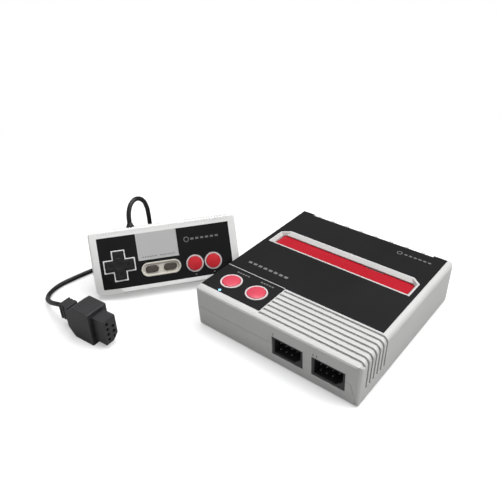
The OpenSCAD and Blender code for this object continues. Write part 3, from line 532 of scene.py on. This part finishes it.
# A thin printed bar at each point
def barTree(inputs):
    tree, given, out = newGeometry("bars", inputs)
    link = tree.links.new
    size = tree.nodes.new("ShaderNodeCombineXYZ")
    bar = tree.nodes.new("GeometryNodeMeshCube")
    link(given.outputs["Length"], size.inputs["X"])
    link(given.outputs["Width"], size.inputs["Y"])
    link(given.outputs["Thickness"], size.inputs["Z"])
    link(size.outputs["Vector"], bar.inputs["Size"])
    return finishTree(tree, given, out, bar.outputs["Mesh"])


bakedSharp = 40  # degrees between faces, above which an edge looks sharp


# Bakes a tree on points given in millimetres, then moves the mesh to its place
def buildOn(name, makeTree, values, points, place, look):
    holder = bpy.data.meshes.new(name)
    holder.from_pydata(points, [], [])
    piece = bpy.data.objects.new(name, holder)
    bpy.context.scene.collection.objects.link(piece)
    build = piece.modifiers.new("build", "NODES")
    build.node_group = makeTree(values)
    for item in build.node_group.interface.items_tree:
        if item.name in values:
            build[item.identifier] = float(values[item.name])
        elif item.name == "Material":
            build[item.identifier] = materials[look]
    graph = bpy.context.evaluated_depsgraph_get()
    piece.data = bpy.data.meshes.new_from_object(piece.evaluated_get(graph), depsgraph=graph)
    piece.modifiers.clear()
    piece.data.name = name
    piece.data.transform(place)
    piece.data.set_sharp_from_angle(angle=math.radians(bakedSharp))
    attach(piece, "housing")
    return piece


# Local x and y lie across the front and up it, and z comes out of it
frontPlace = consolePlace @ Matrix.Rotation(math.radians(90), 4, "X")
plugTurn = Matrix.Rotation(math.radians(cordSet["plugYaw"]), 4, "Z")
plugPlace = consolePlace @ Matrix.Translation(cordSet["plugAt"]) @ plugTurn

# The sockets' pins: four above and three below, one tree for both sockets; their metal is darkened as
# painted shade of the sockets
portSet = {"x": (14.1, 48.3), "z": 17.7, "pitch": 4.9, "rows": 5.6, "back": -55.8}
pinSet = {"Radius": 0.7, "Length": 14.9, "Tip": 0.7, "Tip radius": 0.3}
contactSpots = [((i - 1.5) * portSet["pitch"], portSet["rows"] / 2) for i in range(4)]
contactSpots += [((i - 1.5) * portSet["pitch"], -portSet["rows"] / 2) for i in range(3)]
pinPoints = [(x + a, portSet["z"] + b, -portSet["back"]) for x in portSet["x"] for a, b in contactSpots]
portPins = buildOn("portPins", pinTree, pinSet, pinPoints, frontPlace, "shadedContactSteel")
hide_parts("port_contacts")

# The two rows of leaves that hold a cartridge's edge
leafSet = {"Width": 0.85, "Thickness": 0.2, "Length": 5.4, "Bow": -0.7}
leafRow = {"middle": (-1.5, 22.6), "low": 7.3, "count": 36, "pitch": 2.5, "apart": 1.75}
for side in (-1, 1):
    row = [(leafRow["middle"][0] + (i - (leafRow["count"] - 1) / 2) * leafRow["pitch"],
            leafRow["middle"][1] + side * leafRow["apart"], leafRow["low"])
           for i in range(leafRow["count"])]
    values = {**leafSet, "Bow": side * leafSet["Bow"]}
    name = "cartLeavesBack" if side > 0 else "cartLeavesFront"
    leaves = buildOn(name, leafTree, values, row, consolePlace, "gold")
    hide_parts("cart_contacts")

# The sleeves in the plug's nose, which faces along the plug's own x; their metal is darkened as painted
# shade of the nose's holes
sleeveSet = {"Radius": 1.17, "Wall": 0.34, "Height": 8.4, "Edge": 0.08}
noseTurn = Matrix.Rotation(math.radians(90), 4, "Y") @ Matrix.Rotation(math.radians(180), 4, "Z")
sleeveAt = {"nose": 40, "middle": 5.25}
sleevePoints = [(a, b, sleeveAt["middle"]) for a, b in contactSpots]
plugSleeves = buildOn("plugSleeves", ringTree, sleeveSet, sleevePoints,
                      plugPlace @ Matrix.Translation((sleeveAt["nose"], 0, 0)) @ noseTurn, "shadedContactSteel")
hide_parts("plug_contacts")

# The raised rings round the console's buttons and the controller's
trimSet = {"Radius": 8.2, "Wall": 1.26, "Height": 0.5, "Edge": 0.2}
trimPoints = [(x, -53.5, 39.1) for x in (-53.9, -29.1)]
keyTrims = buildOn("keyTrims", ringTree, trimSet, trimPoints, consolePlace, "ringGrey")
padTrimSet = {"Radius": 6.95, "Wall": 1.16, "Height": 0.5, "Edge": 0.2}
padTrims = buildOn("padTrims", ringTree, padTrimSet, [(39.6, 16.6, 18.2), (23.4, 16.6, 18.2)],
                   padPlace, "ringGrey")

# The coil springs under the console's buttons, each copied with a mesh of its own
capSprings = {"power_spring": ("powerSpring", "power_press"),
              "reset_spring": ("resetSpring", "reset_press")}
for node, (name, joint) in capSprings.items():
    spring = refine(node, name, 0)
    low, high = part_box(node)
    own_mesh(spring)


# A rubber sheet of the controller, cut level just under its domes
def cutSheet(node, name):
    sheet = refine(node, name, 0)
    bm = bmesh.new()
    bm.from_mesh(sheet.data)
    bmesh.ops.bisect_plane(bm, geom=bm.verts[:] + bm.edges[:] + bm.faces[:], plane_no=padOut,
                           plane_co=padPlace @ Vector((0, 0, domeSet["sheet"])), clear_outer=True)
    bmesh.ops.triangle_fill(bm, edges=[edge for edge in bm.edges if edge.is_boundary],
                            use_beauty=True)
    bm.to_mesh(sheet.data)
    bm.free()


# Each key has domes of its own, built as a separate piece
padOut = (padPlace.to_3x3() @ Vector((0, 0, 1))).normalized()
domeSet = {"sheet": 8.55, "foot": 8.5, "tip": 0.6, "narrower": 0.3}
domes = {
    "domeA": dict(node="round_membrane", joint="a_press", travel=1.1, radius=3.4, high=1.7,
                  at=[(39.6, 16.6)]),
    "domeB": dict(node="round_membrane", joint="b_press", travel=1.1, radius=3.4, high=1.7,
                  at=[(23.4, 16.6)]),
    "domeSelect": dict(node="pill_membrane", joint="select_press", travel=1.0, radius=2.6, high=1.7,
                       at=[(-13.65, 17)]),
    "domeStart": dict(node="pill_membrane", joint="start_press", travel=1.0, radius=2.6, high=1.7,
                      at=[(2.05, 17)]),
    "domesLeftRight": dict(node="dpad_membrane", joint="dpad_left_right", travel=1.1, radius=2.1,
                           high=4.5, at=[(-48.7, 24), (-31.9, 24)]),
    "domesUpDown": dict(node="dpad_membrane", joint="dpad_up_down", travel=1.1, radius=2.1,
                        high=4.5, at=[(-40.3, 15.6), (-40.3, 32.4)]),
}
sheets = {"round_membrane": "roundSheet", "pill_membrane": "pillSheet", "dpad_membrane": "crossSheet"}
for node, name in sheets.items():
    cutSheet(node, name)
for name, dome in domes.items():
    values = {"Radius": dome["radius"], "Length": dome["high"] - domeSet["tip"],
              "Tip": domeSet["tip"], "Tip radius": dome["radius"] - domeSet["narrower"]}
    feet = [(x, y, domeSet["foot"]) for x, y in dome["at"]]
    rubber = buildOn(name, pinTree, values, feet, padPlace, "membrane")
    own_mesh(rubber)
    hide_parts(dome["node"])
print("repeated pieces built")


# What is printed: name, colour, whose place, size of one bar, and where each bar is
labelTop, panelTop, faceTop, ink = 38.7, 18.05, 18.0, 0.06
printing = [
    ("divider", "printWhite", consolePlace, (56.7, 0.55), [(-43.25, -35.9, labelTop)]),
    ("frontMark", "printGrey", consolePlace, (3.3, 2.4),
     [(-58.6 + 5.1 * i, -23.8, labelTop) for i in range(8)]),
    ("makerMark", "printGrey", consolePlace, (2.6, 1.5),
     [(37.5 + 4.1 * i, 61, labelTop) for i in range(6)]),
    ("powerMark", "printGrey", consolePlace, (1.7, 1.3),
     [(-57.5 + 2.6 * i, -40.5, labelTop) for i in range(5)]),
    ("resetMark", "printGrey", consolePlace, (1.7, 1.3),
     [(-34 + 2.6 * i, -40.3, labelTop) for i in range(5)]),
    ("padMark", "printGrey", padPlace, (2.7, 1.7), [(23.6 + 4.3 * i, 38.3, faceTop) for i in range(6)]),
    ("panelMarks", "printDark", padPlace, (1.5, 0.7),
     [(x + 2.2 * i, 28.2, panelTop) for x in (-20, -4.6) for i in range(6)]),
    ("letterDots", "printGrey", padPlace, (1.2, 1.2), [(23.4, 7.0, faceTop), (39.6, 7.0, faceTop)]),
    ("panelSide", "printWhite", padPlace, (0.6, 23.4), [(-23.7, 37.3, faceTop)]),
    ("panelFoot", "printWhite", padPlace, (34.4, 0.6), [(-6.4, 25.9, faceTop)]),
    ("portTicks", "printDark", frontPlace, (0.7, 2.2),
     [(x, 28.8, 74.2) for x in (1.9, 36.2, 39.0)]),
]
for name, look, place, (wide, high), points in printing:
    values = {"Length": wide, "Width": high, "Thickness": ink}
    mark = buildOn(name, barTree, values, points, place, look)
badgeSet = {"Radius": 2.0, "Wall": 0.7, "Height": ink, "Edge": 0.01}
for name, point, place in (("badge", (32, 61, labelTop), consolePlace),
                           ("padBadge", (18.6, 38.3, faceTop), padPlace)):
    badge = buildOn(name, ringTree, badgeSet, [point], place, "printGrey")
print("marks printed")


floorSet = {"size": 8, "seen": 0.9, "bounced": 0.4, "fadeFrom": 0.3, "fadeTo": 0.55, "lift": 0.35}


# A floor that fades to plain white away from the object and gives little light back
def makeStage():
    bpy.ops.mesh.primitive_plane_add(size=floorSet["size"], location=(0, 0, 0))
    floor = bpy.context.object
    floor.name = "floor"
    material, tree, shader = newMaterial("floorWhite")
    link = tree.links.new
    shader.inputs["Base Color"].default_value = grey(floorSet["seen"])
    shader.inputs["Roughness"].default_value = 0.6
    where = tree.nodes.new("ShaderNodeTexCoord").outputs["Object"]
    far = tree.nodes.new("ShaderNodeVectorMath")
    far.operation = "LENGTH"
    fade = addNode(tree, "ShaderNodeMapRange", From_Min=floorSet["fadeFrom"],
                   From_Max=floorSet["fadeTo"], To_Min=floorSet["lift"])
    white = addNode(tree, "ShaderNodeEmission", Color=grey(1))
    dull = addNode(tree, "ShaderNodeBsdfDiffuse", Color=grey(floorSet["bounced"]))
    near, either = (tree.nodes.new("ShaderNodeMixShader") for _ in range(2))
    link(where, far.inputs[0])
    link(far.outputs["Value"], fade.inputs["Value"])
    link(fade.outputs["Result"], near.inputs["Fac"])
    link(shader.outputs["BSDF"], near.inputs[1])
    link(white.outputs["Emission"], near.inputs[2])
    link(tree.nodes.new("ShaderNodeLightPath").outputs["Is Camera Ray"], either.inputs["Fac"])
    link(dull.outputs["BSDF"], either.inputs[1])
    link(near.outputs["Shader"], either.inputs[2])
    link(either.outputs["Shader"], tree.nodes["Material Output"].inputs["Surface"])
    floor.data.materials.append(material)


def makeLight(name, place, size, power):
    data = bpy.data.lights.new(name, "AREA")
    data.shape, data.size, data.energy = "DISK", size, power
    light = bpy.data.objects.new(name, data)
    bpy.context.scene.collection.objects.link(light)
    light.location = place
    light.rotation_mode = "QUATERNION"
    light.rotation_quaternion = (Vector(place) - Vector((0, 0, 0.02))).to_track_quat("Z", "Y")


makeStage()
# Each light's place in metres, its width, and its watts
lights = {"key": ((0.93, 0.38, 1.11), 0.8, 15), "top": ((-0.1, 0.15, 1.8), 1.4, 33),
          "fill": ((-0.25, -1.25, 0.55), 1.0, 2.2)}
for name, (place, size, power) in lights.items():
    makeLight(name, place, size, power)
roomStrength = 0.29
world = bpy.data.worlds.new("studio")
world.use_nodes = True
sky = world.node_tree
room = sky.nodes["Background"]
room.inputs["Color"].default_value = grey(1)
room.inputs["Strength"].default_value = roomStrength
backdrop = sky.nodes.new("ShaderNodeBackground")
backdrop.inputs["Color"].default_value = grey(1)
seen = sky.nodes.new("ShaderNodeLightPath").outputs["Is Camera Ray"]
either = sky.nodes.new("ShaderNodeMixShader")
sky.links.new(seen, either.inputs["Fac"])
sky.links.new(room.outputs["Background"], either.inputs[1])
sky.links.new(backdrop.outputs["Background"], either.inputs[2])
sky.links.new(either.outputs["Shader"], sky.nodes["World Output"].inputs["Surface"])
bpy.context.scene.world = world
bpy.context.scene.view_settings.view_transform = "Standard"
print("stage set")
